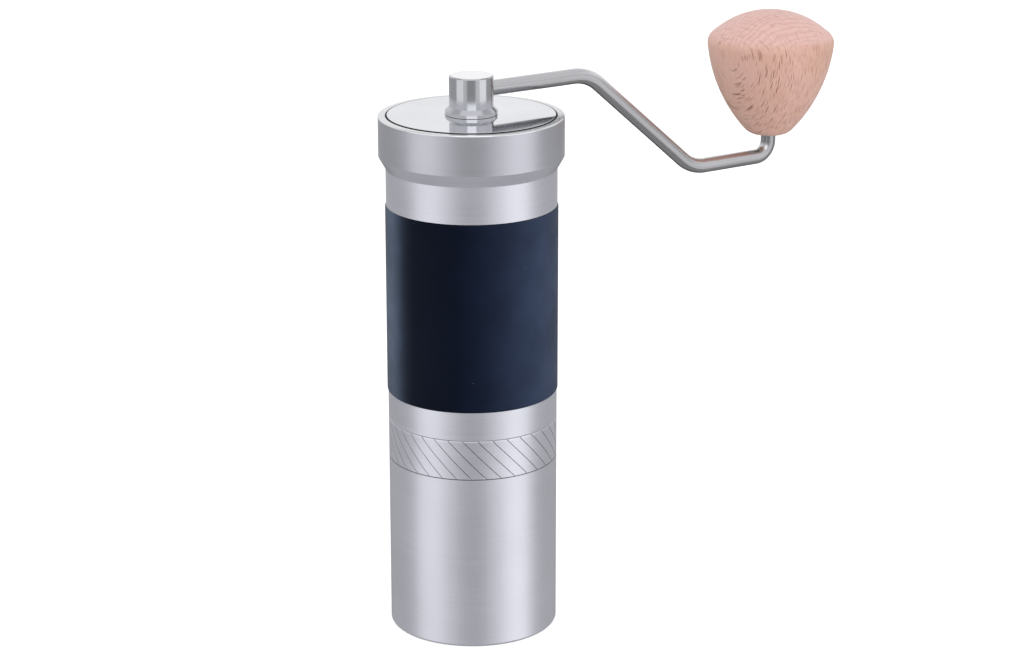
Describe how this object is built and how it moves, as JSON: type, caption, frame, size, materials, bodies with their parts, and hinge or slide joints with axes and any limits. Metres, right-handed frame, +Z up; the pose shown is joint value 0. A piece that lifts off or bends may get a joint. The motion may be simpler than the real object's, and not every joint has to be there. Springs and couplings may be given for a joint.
{
  "type": "hand crank coffee grinder",
  "caption": "Slim hand coffee grinder: tube body with silicone grip, screw-off catch cup, steel lid, cranked rod arm with spinning wood knob, and an adjustable conical burr set inside.",
  "frame": {"origin": "centre of the catch cup's flat underside, on the drive shaft's axis", "axes": "+Z up along the drive shaft, +X along the crank arm towards its knob"},
  "size_m": [0.1715, 0.0594, 0.1924],
  "materials": {
    "anodised_aluminium": "satin bead-blasted and anodised, with turned edges",
    "bracket_aluminium": "turned and milled",
    "grip_silicone": "smooth semi-matt silicone",
    "seal_silicone": "smooth black silicone",
    "polished_steel": "polished stainless steel",
    "satin_steel": "satin drawn stainless steel",
    "burr_steel": "ground hardened steel",
    "bearing_steel": "ground and polished bearing steel",
    "bearing_cage": "pressed steel",
    "spring_steel": "oiled spring steel",
    "screw_steel": "black-oxide steel",
    "beech_wood": "fine sanded and oiled pale beech",
    "bush_plastic": "natural acetal"
  },
  "bodies": {
    "cup": {"catch_cup": "anodised_aluminium"},
    "cup_seal": {"cup_seal_ring": "seal_silicone"},
    "housing": {"body_tube": "anodised_aluminium", "grip_sleeve": "grip_silicone", "upper_bracket": "bracket_aluminium", "lower_bracket": "bracket_aluminium", "bracket_set_screws": "screw_steel", "outer_burr": "burr_steel", "burr_set_screws": "screw_steel", "upper_bearing_outer_ring": "bearing_steel", "lower_bearing_outer_ring": "bearing_steel", "upper_bearing_circlip": "spring_steel", "lower_bearing_circlip": "spring_steel"},
    "drive": {"drive_shaft": "satin_steel", "shaft_spacer": "bracket_aluminium", "shaft_circlip": "spring_steel", "upper_bearing_inner_ring": "bearing_steel", "lower_bearing_inner_ring": "bearing_steel", "burr_spring": "spring_steel"},
    "upper_cage": {"upper_bearing_cage": "bearing_cage", "upper_bearing_balls": "bearing_steel"},
    "lower_cage": {"lower_bearing_cage": "bearing_cage", "lower_bearing_balls": "bearing_steel"},
    "burr": {"inner_burr": "burr_steel", "detent_balls": "bearing_steel", "detent_springs": "spring_steel"},
    "dial": {"adjustment_dial": "bracket_aluminium"},
    "lid": {"lid_disc": "polished_steel", "lid_gasket": "seal_silicone"},
    "crank": {"crank_hub": "polished_steel", "crank_arm": "satin_steel", "hub_set_screw": "screw_steel", "lid_circlip": "spring_steel", "knob_snap_ring": "spring_steel"},
    "knob": {"knob": "beech_wood", "knob_bush": "bush_plastic"}
  },
  "joints": [
    {"name": "cup_unscrew", "type": "hinge", "parent": "cup", "child": "cup_seal", "pos_m": [0, 0, 0.0711], "axis": [0, 0, 1], "range_deg": [0, 720]},
    {"name": "cup_pull_off", "type": "slide", "parent": "cup_seal", "child": "housing", "axis": [0, 0, 1], "range_m": [0, 0.03]},
    {"name": "shaft_spin", "type": "hinge", "parent": "housing", "child": "drive", "pos_m": [0, 0, 0.13], "axis": [0, 0, 1], "continuous": true},
    {"name": "upper_cage_spin", "type": "hinge", "parent": "housing", "child": "upper_cage", "pos_m": [0, 0, 0.152], "axis": [0, 0, 1], "continuous": true},
    {"name": "lower_cage_spin", "type": "hinge", "parent": "housing", "child": "lower_cage", "pos_m": [0, 0, 0.1095], "axis": [0, 0, 1], "continuous": true},
    {"name": "burr_travel", "type": "slide", "parent": "drive", "child": "burr", "axis": [0, 0, 1], "range_m": [-0.00225, 0.00015], "deforming": ["burr_spring"]},
    {"name": "dial_turn", "type": "hinge", "parent": "burr", "child": "dial", "pos_m": [0, 0, 0.0838], "axis": [0, 0, 1], "range_deg": [-1080.5, 72.5]},
    {"name": "lid_lift", "type": "slide", "parent": "housing", "child": "lid", "axis": [0, 0, 1], "range_m": [0, 0.03]},
    {"name": "crank_lift", "type": "slide", "parent": "drive", "child": "crank", "axis": [0, 0, 1], "range_m": [0, 0.03]},
    {"name": "knob_spin", "type": "hinge", "parent": "crank", "child": "knob", "pos_m": [0.1203, 0, 0.17], "axis": [0, 0, 1], "continuous": true}
  ],
  "couplings": [
    {"joint": "upper_cage_spin", "follows": "shaft_spin", "ratio": 0.41735},
    {"joint": "lower_cage_spin", "follows": "shaft_spin", "ratio": 0.41735},
    {"joint": "dial_turn", "follows": "burr_travel", "rad_per_m": 8377.6},
    {"joint": "lid_lift", "follows": "crank_lift", "ratio": 1}
  ]
}
